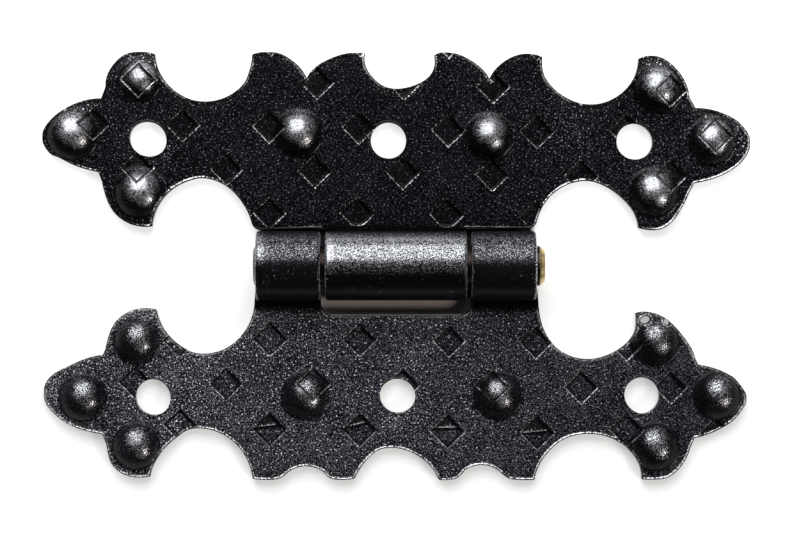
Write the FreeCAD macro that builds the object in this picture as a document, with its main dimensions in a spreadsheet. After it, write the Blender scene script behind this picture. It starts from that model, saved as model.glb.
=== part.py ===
"""Butterfly hinge: two scalloped sheet-steel leaves on one pin, lying open and flat.

X runs along the pin, Y from one leaf to the other, and Z up from the surface that the backs lie on.
The origin is on that surface, under the middle of the pin. Each leaf is drawn pointing along +Y:
"span" is a distance from the middle of the leaf, "reach" a distance from the pin's axis.
"""
import FreeCAD, Part
import math
import os
import Sketcher

SIZES = [
    # sheet, barrel and pin
    ("sheet", 2.0, "thickness of both leaves"),
    ("pin_diameter", 5.6, "shank of the pin"),
    ("pin_clearance", 0.06, "running clearance round the pin"),
    ("barrel_half", 19.6, "middle of the barrel to its end"),
    ("knuckle_half", 9.9, "half the length of the centre knuckle"),
    ("knuckle_gap", 0.7, "between neighbouring knuckles"),
    ("roll_end_gap", 0.15, "where the rolled edge stops above the sheet"),
    ("head_diameter", 6.1, "mushroomed head of the pin"),
    ("head_flat", 4.6, "flat middle of the head"),
    ("head_height", 0.35, "how far the head stands out"),
    ("tail_proud", 1.2, "how far the other end stands out"),
    ("tail_diameter", 4.4, "the pin's end inside its chamfer"),
    ("tail_chamfer", 0.7, "length of that chamfer"),
    # the row of screw holes on each leaf
    ("hole_count", 3, "screw holes in a leaf"),
    ("hole_diameter", 5.0, "clears a 4 to 4.5 mm screw"),
    ("hole_spacing", 34.3, "from one screw hole to the next"),
    ("row_shift", -0.5, "hole row and its domes lie off the middle"),
    # domes embossed from the back, solid here
    ("dome_foot", 3.1, "radius of a dome where it meets the sheet"),
    ("dome_height", 2.0, "how far a dome stands above the sheet"),
    # diamonds stamped into the sheet before the domes are pressed
    ("stamp_diagonal", 4.8, "corner to corner of a diamond"),
    ("stamp_depth", 0.25, "how deep the diamonds are struck"),
    ("stamp_pitch", 12.45, "from one diamond to the next in its row"),
    # leaf with one knuckle
    ("one_tip_span", 50.2, "half the length of this leaf"),
    ("one_tip_reach", 17.8, "wing tip"),
    ("one_crest_span", 5.0, "inner end of the crest lobes"),
    ("one_crest_reach", 29.7, "inner end of the crest lobes"),
    ("one_crest_bulge", 1.8, "how far each crest lobe swells"),
    ("one_notch_span", 12.6, "notch between the crest lobes"),
    ("one_notch_reach", 26.9, "notch between the crest lobes"),
    ("one_shoulder_span", 20.2, "outer end of the crest lobes"),
    ("one_shoulder_reach", 29.6, "outer end of the crest lobes"),
    ("one_far_span", 34.3, "start of the wing's far lobe"),
    ("one_far_reach", 29.2, "start of the wing's far lobe"),
    ("one_far_bulge", 2.4, "how far that lobe swells"),
    ("one_far_end_span", 41.0, "end of the wing's far lobe"),
    ("one_far_end_reach", 24.9, "end of the wing's far lobe"),
    ("one_far_notch_span", 41.6, "notch beside the tip"),
    ("one_far_notch_reach", 23.3, "notch beside the tip"),
    ("one_tip_far_bulge", 1.5, "how far the tip's far side swells"),
    ("one_tip_near_bulge", 1.5, "how far the tip's near side swells"),
    ("one_near_notch_span", 41.4, "notch on the near side of the tip"),
    ("one_near_notch_reach", 11.6, "notch on the near side of the tip"),
    ("one_near_end_span", 41.0, "outer end of the wing's near lobe"),
    ("one_near_end_reach", 10.6, "outer end of the wing's near lobe"),
    ("one_near_bulge", 2.0, "how far that lobe swells"),
    ("one_near_span", 34.0, "inner end of the wing's near lobe"),
    ("one_near_reach", 5.5, "inner end of the wing's near lobe"),
    ("one_cut_reach", 5.3, "straight cut edge beside the knuckle"),
    ("one_cut_round", 1.5, "rounded ends of that edge"),
    ("one_tip_round", 1.8, "rounded wing tip"),
    ("one_middle_bite", 5.1, "radius of the bite in the middle"),
    ("one_middle_bite_reach", 29.9, "centre of that bite"),
    ("one_far_bite", 7.2, "radius of the bite at the far side"),
    ("one_far_bite_span", 27.25, "centre of that bite"),
    ("one_far_bite_reach", 29.9, "centre of that bite"),
    ("one_near_bite", 7.25, "radius of the bite at the pin's side"),
    ("one_near_bite_span", 27.1, "centre of that bite"),
    ("one_near_bite_reach", 4.9, "centre of that bite"),
    ("one_hole_reach", 17.7, "row of screw holes"),
    ("one_far_dome_span", 36.4, "dome on the far lobe"),
    ("one_far_dome_reach", 25.5, "dome on the far lobe"),
    ("one_tip_dome_span", 45.0, "dome on the tip"),
    ("one_tip_dome_reach", 18.0, "dome on the tip"),
    ("one_near_dome_span", 36.2, "dome on the near lobe"),
    ("one_near_dome_reach", 10.3, "dome on the near lobe"),
    ("one_row_dome_span", 13.4, "dome between two holes"),
    ("one_row_dome_reach", 18.3, "dome between two holes"),
    ("one_stamp_span", -42.5, "first diamond, on the left"),
    ("one_stamp_reach", 7.6, "first diamond, nearest the pin"),
    ("one_stamp_lean", -0.9, "degrees that the diamonds run out of true"),
    # leaf with two knuckles
    ("two_tip_span", 49.9, "half the length of this leaf"),
    ("two_tip_reach", 18.2, "wing tip"),
    ("two_crest_span", 6.2, "inner end of the crest lobes"),
    ("two_crest_reach", 29.9, "inner end of the crest lobes"),
    ("two_crest_bulge", 0.85, "how far each crest lobe swells"),
    ("two_notch_span", 10.5, "inner end of the notch between them"),
    ("two_notch_reach", 28.6, "inner end of the notch between them"),
    ("two_notch_depth", 0.7, "how deep the rounded notch is"),
    ("two_notch_end_span", 14.9, "outer end of that notch"),
    ("two_notch_end_reach", 28.9, "outer end of that notch"),
    ("two_shoulder_span", 19.9, "outer end of the crest lobes"),
    ("two_shoulder_reach", 29.8, "outer end of the crest lobes"),
    ("two_far_span", 34.5, "start of the wing's far lobe"),
    ("two_far_reach", 29.8, "start of the wing's far lobe"),
    ("two_far_bulge", 1.8, "how far that lobe swells"),
    ("two_far_end_span", 41.2, "end of the wing's far lobe"),
    ("two_far_end_reach", 25.8, "end of the wing's far lobe"),
    ("two_far_notch_span", 41.8, "notch beside the tip"),
    ("two_far_notch_reach", 24.4, "notch beside the tip"),
    ("two_tip_far_bulge", 1.3, "how far the tip's far side swells"),
    ("two_tip_near_bulge", 1.35, "how far the tip's near side swells"),
    ("two_near_notch_span", 41.5, "notch on the near side of the tip"),
    ("two_near_notch_reach", 12.4, "notch on the near side of the tip"),
    ("two_near_end_span", 41.1, "outer end of the wing's near lobe"),
    ("two_near_end_reach", 11.5, "outer end of the wing's near lobe"),
    ("two_near_bulge", 2.0, "how far that lobe swells"),
    ("two_near_span", 33.8, "inner end of the wing's near lobe"),
    ("two_near_reach", 6.7, "inner end of the wing's near lobe"),
    ("two_cut_reach", 6.4, "cut-out that clears the centre knuckle"),
    ("two_cut_round", 1.8, "rounded corners of that cut-out"),
    ("two_tip_round", 1.8, "rounded wing tip"),
    ("two_middle_bite", 7.0, "radius of the bite in the middle"),
    ("two_middle_bite_reach", 32.9, "centre of that bite"),
    ("two_far_bite", 7.5, "radius of the bite at the far side"),
    ("two_far_bite_span", 27.2, "centre of that bite"),
    ("two_far_bite_reach", 30.8, "centre of that bite"),
    ("two_near_bite", 7.2, "radius of the bite at the pin's side"),
    ("two_near_bite_reach", 5.5, "centre of that bite"),
    ("two_hole_reach", 18.3, "row of screw holes"),
    ("two_far_dome_span", 36.5, "dome on the far lobe"),
    ("two_far_dome_reach", 25.5, "dome on the far lobe"),
    ("two_tip_dome_span", 44.6, "dome on the tip"),
    ("two_tip_dome_reach", 18.4, "dome on the tip"),
    ("two_near_dome_span", 36.3, "dome on the near lobe"),
    ("two_near_dome_reach", 10.5, "dome on the near lobe"),
    ("two_row_dome_span", 13.6, "dome between two holes"),
    ("two_row_dome_reach", 18.3, "dome between two holes"),
    ("two_stamp_span", -44.6, "first diamond, on the left"),
    ("two_stamp_reach", 10.9, "first diamond, nearest the pin"),
    ("two_stamp_lean", -0.4, "degrees that the diamonds run out of true"),
]

doc = FreeCAD.newDocument("butterfly_hinge")
sizes = doc.addObject("Spreadsheet::Sheet", "sizes")
for line, (alias, number, meaning) in enumerate(SIZES, start=1):
    sizes.set(f"A{line}", alias)
    sizes.set(f"B{line}", str(number))
    sizes.set(f"C{line}", meaning)
    sizes.setAlias(f"B{line}", alias)
doc.recompute()

# heights and radii that follow from the sheet, written as expressions on it
BORE = "(sizes.pin_diameter / 2 + sizes.pin_clearance)"
AXIS = f"({BORE} + sizes.sheet)"
BALL = "((sizes.dome_foot ^ 2 + sizes.dome_height ^ 2) / (2 * sizes.dome_height))"
BALL_CENTRE = f"(sizes.sheet + sizes.dome_height - {BALL})"
OUTER_KNUCKLE = "(sizes.barrel_half - sizes.knuckle_half - sizes.knuckle_gap)"


def value(expression):
    """What an expression on the sheet comes to now, as a plain number."""
    result = sizes.evalExpression(str(expression).replace("sizes.", ""))
    return float(getattr(result, "Value", result))


def origin_plane(body, role):
    return next(plane for plane in body.Origin.OriginFeatures if plane.Role == role)


def new_sketch(body, name, role, across="0", up="0", out="0"):
    """A sketch on one of the body's own origin planes, moved within and off that plane."""
    sketch = body.newObject("Sketcher::SketchObject", name)
    sketch.AttachmentSupport = [(origin_plane(body, role), "")]
    sketch.MapMode = "FlatFace"
    for axis, distance in (("x", across), ("y", up), ("z", out)):
        sketch.setExpression(f"AttachmentOffset.Base.{axis}", distance)
    return sketch


def bind(sketch, constraint, expression):
    """Add a constraint whose value follows an expression."""
    index = sketch.addConstraint(constraint)
    sketch.setExpression(f"Constraints[{index}]", expression)


def place_point(sketch, edge, end, across, up):
    """Fix a point of the sketch. None puts it on that axis, and a leading minus on its far side."""
    for kind, axis, distance in (("DistanceX", -2, across), ("DistanceY", -1, up)):
        if distance is None:
            sketch.addConstraint(Sketcher.Constraint("PointOnObject", edge, end, axis))
        elif distance.startswith("-"):
            constraint = Sketcher.Constraint(kind, edge, end, -1, 1, value(distance[1:]))
            bind(sketch, constraint, distance[1:])
        else:
            bind(sketch, Sketcher.Constraint(kind, -1, 1, edge, end, value(distance)), distance)


def draw_outline(sketch, corners):
    """Closed outline, clockwise. Each corner is (across, up, swell of the edge that follows).

    A swell is the height of an arc over its chord, and a leading minus makes the arc hollow.
    """
    points = [FreeCAD.Vector(value(across or 0), value(up or 0)) for across, up, swell in corners]
    count = len(corners)
    first_end = []
    for index, (across, up, swell) in enumerate(corners):
        start, finish = points[index], points[(index + 1) % count]
        if swell is None:
            sketch.addGeometry(Part.LineSegment(start, finish))
            first_end.append(1)
            continue
        hollow = swell.startswith("-")
        rise = value(swell.lstrip("-"))
        chord = finish - start
        outward = FreeCAD.Vector(-chord.y, chord.x).normalize() * (-1 if hollow else 1)
        radius = chord.Length ** 2 / (8 * rise) + rise / 2
        centre = (start + finish) / 2 + outward * (rise - radius)
        turned_from, turned_to = (start, finish) if hollow else (finish, start)
        angle_from = math.atan2(turned_from.y - centre.y, turned_from.x - centre.x)
        angle_to = math.atan2(turned_to.y - centre.y, turned_to.x - centre.x)
        if angle_to < angle_from:
            angle_to += 2 * math.pi
        circle = Part.Circle(centre, FreeCAD.Vector(0, 0, 1), radius)
        sketch.addGeometry(Part.ArcOfCircle(circle, angle_from, angle_to))
        first_end.append(1 if hollow else 2)
    for index, (across, up, swell) in enumerate(corners):
        following = (index + 1) % count
        last_end = 3 - first_end[index]
        joined = Sketcher.Constraint("Coincident", index, last_end, following, first_end[following])
        sketch.addConstraint(joined)
        place_point(sketch, index, first_end[index], across, up)
    for index, (across, up, swell) in enumerate(corners):
        if swell is None:
            continue
        next_across, next_up, _ = corners[(index + 1) % count]
        rise = swell.lstrip("-")
        chord_squared = f"(({next_across} - {across}) ^ 2 + ({next_up} - {up}) ^ 2)"
        radius = f"{chord_squared} / (8 * {rise}) + {rise} / 2"
        bind(sketch, Sketcher.Constraint("Radius", index, value(radius)), radius)


def draw_circle(sketch, radius, across, up):
    centre = FreeCAD.Vector(value(across or 0), value(up or 0))
    index = sketch.addGeometry(Part.Circle(centre, FreeCAD.Vector(0, 0, 1), value(radius)))
    bind(sketch, Sketcher.Constraint("Radius", index, value(radius)), radius)
    place_point(sketch, index, 3, across, up)


def add_pad(body, sketch, length, name, both_ways=False):
    pad = body.newObject("PartDesign::Pad", name)
    pad.Profile = sketch
    pad.setExpression("Length", length)
    if both_ways:
        pad.SideType = "Symmetric"
    return pad


def cut_upwards(body, sketch, name):
    """Cut a sketch on the back of the leaf up through everything above it."""
    pocket = body.newObject("PartDesign::Pocket", name)
    pocket.Profile = sketch
    pocket.Type = "ThroughAll"
    pocket.Reversed = True
    return pocket


def mirror_across_middle(body, name, originals=None):
    """Repeat features, or the whole shape so far, on the other side of the leaf's middle."""
    mirror = body.newObject("PartDesign::Mirrored", name)
    if originals:
        mirror.Originals = originals
    else:
        mirror.TransformMode = "Whole shape"
    mirror.MirrorPlane = (origin_plane(body, "YZ_Plane"), [""])
    body.Tip = mirror
    return mirror


def check_it_cuts(feature, before):
    """A cut that points away from the metal removes nothing and shows no error."""
    if not feature.Shape.Volume < before.Shape.Volume - 1:
        raise RuntimeError(f"{feature.Label} cuts nothing")


def round_corners(body, corners, radius, name):
    """Fillet the upright edges nearest to the given places."""
    doc.recompute()
    sharp = body.Tip
    upright = {}
    for index, edge in enumerate(sharp.Shape.Edges, start=1):
        low, high = edge.BoundBox.ZMin, edge.BoundBox.ZMax
        if edge.BoundBox.XLength < 0.001 and edge.BoundBox.YLength < 0.001 and high - low > 1:
            upright[f"Edge{index}"] = FreeCAD.Vector(edge.CenterOfMass.x, edge.CenterOfMass.y)
    names = []
    for across, up in corners:
        corner = FreeCAD.Vector(across, up)
        names.append(min(upright, key=lambda edge: (upright[edge] - corner).Length))
    fillet = body.newObject("PartDesign::Fillet", name)
    fillet.Base = (sharp, names)
    fillet.setExpression("Radius", radius)


def size_of(leaf):
    """Short way to name a leaf's own sizes."""
    return lambda word: f"sizes.{leaf}_{word}"


def one_knuckle_outline():
    """Half of the sheet whose crest lobes meet in a sharp notch, before its round bites."""
    own = size_of("one")
    return [
        (None, own("crest_reach"), None),
        (own("crest_span"), own("crest_reach"), own("crest_bulge")),
        (own("notch_span"), own("notch_reach"), own("crest_bulge")),
        (own("shoulder_span"), own("shoulder_reach"), None),
        *wing_outline(own),
        (own("near_bite_span"), own("cut_reach"), None),
        ("sizes.knuckle_half", own("cut_reach"), None),
        ("sizes.knuckle_half", None, None),
        (None, None, None),
    ]


def two_knuckle_outline():
    """Half of the sheet with the rounded notches, and with the tabs that roll into knuckles."""
    own = size_of("two")
    tab_inner = "(sizes.knuckle_half + sizes.knuckle_gap)"
    return [
        (None, own("crest_reach"), None),
        (own("crest_span"), own("crest_reach"), own("crest_bulge")),
        (own("notch_span"), own("notch_reach"), "-" + own("notch_depth")),
        (own("notch_end_span"), own("notch_end_reach"), own("crest_bulge")),
        (own("shoulder_span"), own("shoulder_reach"), None),
        *wing_outline(own),
        (f"(sizes.barrel_half + {own('near_bite')})", own("near_bite_reach"), None),
        ("sizes.barrel_half", own("near_bite_reach"), None),
        ("sizes.barrel_half", None, None),
        (tab_inner, None, None),
        (tab_inner, own("cut_reach"), None),
        (None, own("cut_reach"), None),
    ]


def wing_outline(own):
    """The wing: a far lobe, an ogee tip and a near lobe, with a notch on each side of the tip."""
    return [
        (own("far_span"), own("far_reach"), own("far_bulge")),
        (own("far_end_span"), own("far_end_reach"), None),
        (own("far_notch_span"), own("far_notch_reach"), own("tip_far_bulge")),
        (own("tip_span"), own("tip_reach"), own("tip_near_bulge")),
        (own("near_notch_span"), own("near_notch_reach"), None),
        (own("near_end_span"), own("near_end_reach"), own("near_bulge")),
        (own("near_span"), own("near_reach"), None),
    ]


def dome_places(leaf):
    """The eight domes: three on each wing, and two in the row of screw holes."""
    own = size_of(leaf)
    for side, sign in (("left", "-"), ("right", "")):
        for place in ("far", "tip", "near", "row"):
            shift = "sizes.row_shift" if place in ("tip", "row") else "0"
            across = f"({shift} + {sign}{own(place + '_dome_span')})"
            yield f"{side}_{place}", across, own(place + "_dome_reach")


def draw_ball(sketch, skin):
    """Upper half of the disc that turns, about the level line under it, into a dome's half ball."""
    ball = value(BALL) - value(skin)
    circle = Part.Circle(FreeCAD.Vector(), FreeCAD.Vector(0, 0, 1), ball)
    sketch.addGeometry(Part.ArcOfCircle(circle, 0, math.pi))
    sketch.addGeometry(Part.LineSegment(FreeCAD.Vector(-ball, 0), FreeCAD.Vector(ball, 0)))
    for kind, *where in (
        ("Coincident", 0, 3, -1, 1),
        ("Coincident", 0, 2, 1, 1),
        ("Coincident", 1, 2, 0, 1),
        ("Horizontal", 1),
    ):
        sketch.addConstraint(Sketcher.Constraint(kind, *where))
    bind(sketch, Sketcher.Constraint("Radius", 0, ball), f"{BALL} - {skin}")


def make_plate(leaf, outline, name, skin="0"):
    """The embossed sheet, or with a skin the same sheet with that much taken off its face."""
    body = doc.addObject("PartDesign::Body", name)
    sketch = new_sketch(body, f"{name}_half_outline", "XY_Plane")
    draw_outline(sketch, outline)
    add_pad(body, sketch, f"sizes.sheet - {skin}", f"{name}_half")
    own = size_of(leaf)
    round_corners(body, [(value(own("tip_span")), value(own("tip_reach")))],
                  own("tip_round"), f"{name}_tip")
    mirror_across_middle(body, f"{name}_whole")
    for place, across, reach in dome_places(leaf):
        half_disc = new_sketch(body, f"{name}_{place}_half_disc", "XZ_Plane",
                               across, BALL_CENTRE, f"-{reach}")
        draw_ball(half_disc, skin)
        dome = body.newObject("PartDesign::Revolution", f"{name}_{place}_dome")
        dome.Profile = half_disc
        dome.ReferenceAxis = (half_disc, ["H_Axis"])
        dome.Angle = 180
        dome.Midplane = True
        dome.Refine = False
    return body


def make_stamp(leaf, name):
    """The diamond punches: two staggered grids of square bars standing through the sheet."""
    own = size_of(leaf)
    body = doc.addObject("PartDesign::Body", name)
    half = "sizes.stamp_diagonal / 2"
    for grid, shift, columns, rows in (("even", "0", 8, 3), ("odd", "sizes.stamp_pitch / 2", 7, 2)):
        sketch = new_sketch(body, f"{name}_{grid}_diamond", "XY_Plane",
                            own("stamp_span"), own("stamp_reach"))
        sketch.setExpression("AttachmentOffset.Rotation.Angle", own("stamp_lean"))
        draw_outline(sketch, [
            (shift, f"({shift} + {half})", None),
            (f"({shift} + {half})", shift, None),
            (shift, f"({shift} - {half})", None),
            (f"({shift} - {half})", shift, None),
        ])
        bar = add_pad(body, sketch, "sizes.sheet + 2 * sizes.dome_height", f"{name}_{grid}_bar")
        grids = body.newObject("PartDesign::MultiTransform", f"{name}_{grid}_grid")
        steps = []
        for axis, number in (("H_Axis", columns), ("V_Axis", rows)):
            step = body.newObject("PartDesign::LinearPattern", f"{name}_{grid}_{axis[0]}_row")
            step.Direction = (sketch, [axis])
            step.Occurrences = number
            step.setExpression("Length", f"sizes.stamp_pitch * {number - 1}")
            steps.append(step)
        grids.Originals = [bar]
        grids.Transformations = steps
        body.Tip = grids
    return body


def draw_roll(sketch):
    """Section of a knuckle: the sheet runs flat to the barrel and rolls right round the pin."""
    axis, bore, sheet = value(AXIS), value(BORE), value("sizes.sheet")
    dip = f"asin(({AXIS} - sizes.sheet - sizes.roll_end_gap) / {AXIS})"
    start = -math.radians(value(dip))
    centre, upward = FreeCAD.Vector(0, axis), FreeCAD.Vector(0, 0, 1)
    ray = FreeCAD.Vector(math.cos(start), math.sin(start))
    outside = Part.ArcOfCircle(Part.Circle(centre, upward, axis), start, 1.5 * math.pi)
    inside = Part.ArcOfCircle(Part.Circle(centre, upward, bore), start, 1.5 * math.pi)
    sketch.addGeometry(outside)
    sketch.addGeometry(Part.LineSegment(FreeCAD.Vector(0, 0), FreeCAD.Vector(0, sheet)))
    sketch.addGeometry(inside)
    sketch.addGeometry(Part.LineSegment(centre + ray * bore, centre + ray * axis))
    for kind, *where in (
        ("Coincident", 0, 2, 1, 1),
        ("Coincident", 1, 1, -1, 1),
        ("Vertical", 1),
        ("Coincident", 1, 2, 2, 2),
        ("Coincident", 2, 1, 3, 1),
        ("Coincident", 3, 2, 0, 1),
        ("Coincident", 0, 3, 2, 3),
        ("PointOnObject", 0, 3, -2),
        ("PointOnObject", 0, 3, 3),
    ):
        sketch.addConstraint(Sketcher.Constraint(kind, *where))
    bind(sketch, Sketcher.Constraint("DistanceY", 1, 1, 1, 2, sheet), "sizes.sheet")
    bind(sketch, Sketcher.Constraint("DistanceY", -1, 1, 0, 3, axis), AXIS)
    bind(sketch, Sketcher.Constraint("Angle", 3, start), f"-{dip}")


def stamp_sheet(leaf, outline):
    """Press the diamonds into the embossed sheet, so that each follows the domes it crosses."""
    plate = make_plate(leaf, outline, f"{leaf}_plate")
    under = make_plate(leaf, outline, f"{leaf}_under", "sizes.stamp_depth")
    punches = make_stamp(leaf, f"{leaf}_punches")
    cleared = doc.addObject("Part::Cut", f"{leaf}_cleared")
    cleared.Base, cleared.Tool = plate, punches
    pressed = doc.addObject("Part::Common", f"{leaf}_pressed")
    pressed.Base, pressed.Tool = under, punches
    stamped = doc.addObject("Part::Fuse", f"{leaf}_stamped")
    stamped.Base, stamped.Tool = cleared, pressed
    stamped.Refine = True
    doc.recompute()
    return stamped


def make_leaf(leaf, outline, near_bite_span):
    """A leaf without its knuckles: the stamped sheet, bitten and drilled."""
    own = size_of(leaf)
    stamped = stamp_sheet(leaf, outline)
    body = doc.addObject("PartDesign::Body", f"{leaf}_knuckle_leaf")
    body.BaseFeature = stamped
    bites = new_sketch(body, f"{leaf}_bite_circles", "XY_Plane")
    draw_circle(bites, own("middle_bite"), None, own("middle_bite_reach"))
    for sign in ("", "-"):
        draw_circle(bites, own("far_bite"), sign + own("far_bite_span"), own("far_bite_reach"))
        draw_circle(bites, own("near_bite"), sign + near_bite_span, own("near_bite_reach"))
    bitten = cut_upwards(body, bites, f"{leaf}_bites")
    cuts.append((bitten, stamped))

    first = "-(sizes.hole_spacing * (sizes.hole_count - 1) / 2 - sizes.row_shift)"
    circle = new_sketch(body, f"{leaf}_hole_circle", "XY_Plane")
    draw_circle(circle, "sizes.hole_diameter / 2", first, own("hole_reach"))
    hole = cut_upwards(body, circle, f"{leaf}_hole")
    row = body.newObject("PartDesign::LinearPattern", f"{leaf}_hole_row")
    row.Originals = [hole]
    row.Direction = (circle, ["H_Axis"])
    row.setExpression("Occurrences", "sizes.hole_count")
    row.setExpression("Length", "sizes.hole_spacing * (sizes.hole_count - 1)")
    body.Tip = row
    cuts.append((row, bitten))
    return body


def make_one_knuckle_leaf():
    """The leaf that turns: its middle tongue rolls into the centre knuckle."""
    own = size_of("one")
    body = make_leaf("one", one_knuckle_outline(), own("near_bite_span"))
    ends = [(side * value("sizes.barrel_half"), value(own("cut_reach"))) for side in (-1, 1)]
    round_corners(body, ends, own("cut_round"), "one_cut_ends")
    section = new_sketch(body, "centre_knuckle_section", "YZ_Plane")
    draw_roll(section)
    add_pad(body, section, "2 * sizes.knuckle_half", "centre_knuckle", both_ways=True)
    return body


def make_two_knuckle_leaf():
    """The leaf that holds the pin: its two tabs roll into the outer knuckles."""
    own = size_of("two")
    body = make_leaf("two", two_knuckle_outline(), f"(sizes.barrel_half + {own('near_bite')})")
    tab_inner = "(sizes.knuckle_half + sizes.knuckle_gap)"
    ends = [(side * value(tab_inner), value(own("cut_reach"))) for side in (-1, 1)]
    round_corners(body, ends, own("cut_round"), "two_cut_corners")
    section = new_sketch(body, "outer_knuckle_section", "YZ_Plane", out=tab_inner)
    draw_roll(section)
    knuckle = add_pad(body, section, OUTER_KNUCKLE, "outer_knuckle")
    mirror_across_middle(body, "outer_knuckles", [knuckle])
    body.Placement = FreeCAD.Placement(FreeCAD.Vector(), FreeCAD.Rotation(FreeCAD.Vector(0, 0, 1), 180))
    return body


def make_pin():
    """The pin: a mushroomed head at the left, and a chamfered end standing out at the right."""
    body = doc.addObject("PartDesign::Body", "hinge_pin")
    section = new_sketch(body, "pin_half_section", "XY_Plane", out=AXIS)
    head_end = "-(sizes.barrel_half + sizes.head_height)"
    tail_end = "(sizes.barrel_half + sizes.tail_proud)"
    draw_outline(section, [
        (head_end, None, None),
        (head_end, "sizes.head_flat / 2", None),
        ("-sizes.barrel_half", "sizes.head_diameter / 2", None),
        ("-sizes.barrel_half", "sizes.pin_diameter / 2", None),
        (f"({tail_end} - sizes.tail_chamfer)", "sizes.pin_diameter / 2", None),
        (tail_end, "sizes.tail_diameter / 2", None),
        (tail_end, None, None),
    ])
    turned = body.newObject("PartDesign::Revolution", "pin")
    turned.Profile = section
    turned.ReferenceAxis = (section, ["H_Axis"])
    return body


cuts = []
sub_parts = [make_one_knuckle_leaf(), make_two_knuckle_leaf(), make_pin()]
doc.recompute()
for feature, before in cuts:
    check_it_cuts(feature, before)

for item in doc.Objects:
    if "Invalid" in item.State or "Error" in item.State:
        raise RuntimeError(f"{item.Label} failed to build")
for body in sub_parts:
    if body.Shape.isNull() or not body.Shape.isValid() or len(body.Shape.Solids) != 1:
        raise RuntimeError(f"{body.Label} is not one sound solid")

os.makedirs("parts", exist_ok=True)
for body in sub_parts:
    body.Shape.exportStep(f"parts/{body.Label}.step")
    print(body.Label, "volume", round(body.Shape.Volume), "mm3")
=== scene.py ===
"""Looks of the butterfly hinge: two black leaves of sheet steel on one pin, lying open on a white table.

Drawing units are millimetres, as on the workshop drawing, and each mesh is scaled to metres at the end.
"""
import math

import bpy
import numpy as np
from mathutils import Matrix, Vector
from mathutils.geometry import delaunay_2d_cdt


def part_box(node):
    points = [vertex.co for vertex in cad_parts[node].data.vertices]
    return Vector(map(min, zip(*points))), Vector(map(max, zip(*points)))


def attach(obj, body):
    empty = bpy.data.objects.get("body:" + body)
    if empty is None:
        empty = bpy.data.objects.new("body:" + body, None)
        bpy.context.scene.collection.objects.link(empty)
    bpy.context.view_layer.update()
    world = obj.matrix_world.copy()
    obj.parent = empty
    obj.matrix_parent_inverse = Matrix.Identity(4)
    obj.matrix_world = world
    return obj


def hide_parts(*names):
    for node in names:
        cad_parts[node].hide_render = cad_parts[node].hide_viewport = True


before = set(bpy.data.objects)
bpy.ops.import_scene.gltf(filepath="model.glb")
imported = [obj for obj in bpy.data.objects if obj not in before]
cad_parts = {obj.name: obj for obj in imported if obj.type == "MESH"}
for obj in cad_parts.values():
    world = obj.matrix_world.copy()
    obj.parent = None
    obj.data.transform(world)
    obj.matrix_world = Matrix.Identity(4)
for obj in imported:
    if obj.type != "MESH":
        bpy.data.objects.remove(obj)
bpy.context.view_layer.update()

MM = 0.001


# The leaf that turns is one blank of 2 mm sheet steel, punched round its scalloped outline, struck
# with rows of diamonds and then pressed up from behind into eight domes, so the diamonds that a
# dome crosses ride up its side. The middle tongue is rolled round the pin into the centre knuckle.

SHEET = 2.0


def batches(count):
    """Slices of 4000 rows, so that no table of points against edges grows too large."""
    return [slice(low, low + 4000) for low in range(0, count, 4000)]


def inside_polygon(points, starts, ends):
    """Even-odd rule: a point is inside when a ray from it along +X crosses an odd number of edges."""
    inside = np.zeros(len(points), bool)
    for batch in batches(len(points)):
        x, y = points[batch, 0, None], points[batch, 1, None]
        rising = (starts[:, 1] > y) != (ends[:, 1] > y)
        run = ends[:, 1] - starts[:, 1]
        run = np.where(np.abs(run) < 1e-12, 1e-12, run)
        crossing = starts[:, 0] + (y - starts[:, 1]) * (ends[:, 0] - starts[:, 0]) / run
        inside[batch] = (rising & (x < crossing)).sum(1) % 2 == 1
    return inside


def distance_to_edges(points, starts, ends):
    """Distance from each point to the nearest edge, along the perpendicular, and that edge's number."""
    along = ends - starts
    length = (along ** 2).sum(1)
    nearest, number = np.empty(len(points)), np.empty(len(points), int)
    for batch in batches(len(points)):
        offset = points[batch, None] - starts
        share = np.clip((offset * along).sum(2) / length, 0, 1)
        away = ((offset - share[..., None] * along) ** 2).sum(2)
        number[batch] = away.argmin(1)
        nearest[batch] = np.sqrt(away.min(1))
    return nearest, number


def back_edges(node):
    """Rim of the flat back of a CAD leaf: the edges that only one triangle at height 0 has."""
    mesh = node.data
    place = np.empty(len(mesh.vertices) * 3)
    mesh.vertices.foreach_get("co", place)
    place = place.reshape(-1, 3) / MM
    mesh.calc_loop_triangles()
    corners = np.empty(len(mesh.loop_triangles) * 3, int)
    mesh.loop_triangles.foreach_get("vertices", corners)
    corners = corners.reshape(-1, 3)
    flat = corners[(np.abs(place[corners, 2]) < 1e-4).all(1)]
    spots, same = np.unique(np.round(place[:, :2], 4), axis=0, return_inverse=True)
    flat = same.reshape(-1)[flat]
    edges = np.concatenate([flat[:, [0, 1]], flat[:, [1, 2]], flat[:, [2, 0]]])
    edges = edges[edges[:, 0] != edges[:, 1]]
    keys = set(map(tuple, edges.tolist()))
    rim = np.array([edge for edge in edges.tolist() if (edge[1], edge[0]) not in keys])
    return spots[rim[:, 1]], spots[rim[:, 0]]


def strayed(points, strays, reach):
    """The punched rim strays from the drawing: a mean of the strays, weighed by a bell round each.

    Over the last stretch before the leaf's reach the way out follows a tanh curve, so no tip passes it.
    """
    bell, ease = 2.3, 0.7
    weight = np.exp(-((points[:, None] - strays[:, :2]) ** 2).sum(2) / (2 * bell ** 2)) + 1e-30
    moved = points + weight @ strays[:, 2:] / weight.sum(1)[:, None]
    over = np.maximum(np.abs(moved) - reach + ease, 0)
    return moved + np.sign(moved) * (ease * np.tanh(over / ease) - over)


def smooth_step(low, high, value):
    """Cubic ramp from 0 at low to 1 at high."""
    share = np.clip((value - low) / (high - low), 0, 1)
    return share * share * (3 - 2 * share)


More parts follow.
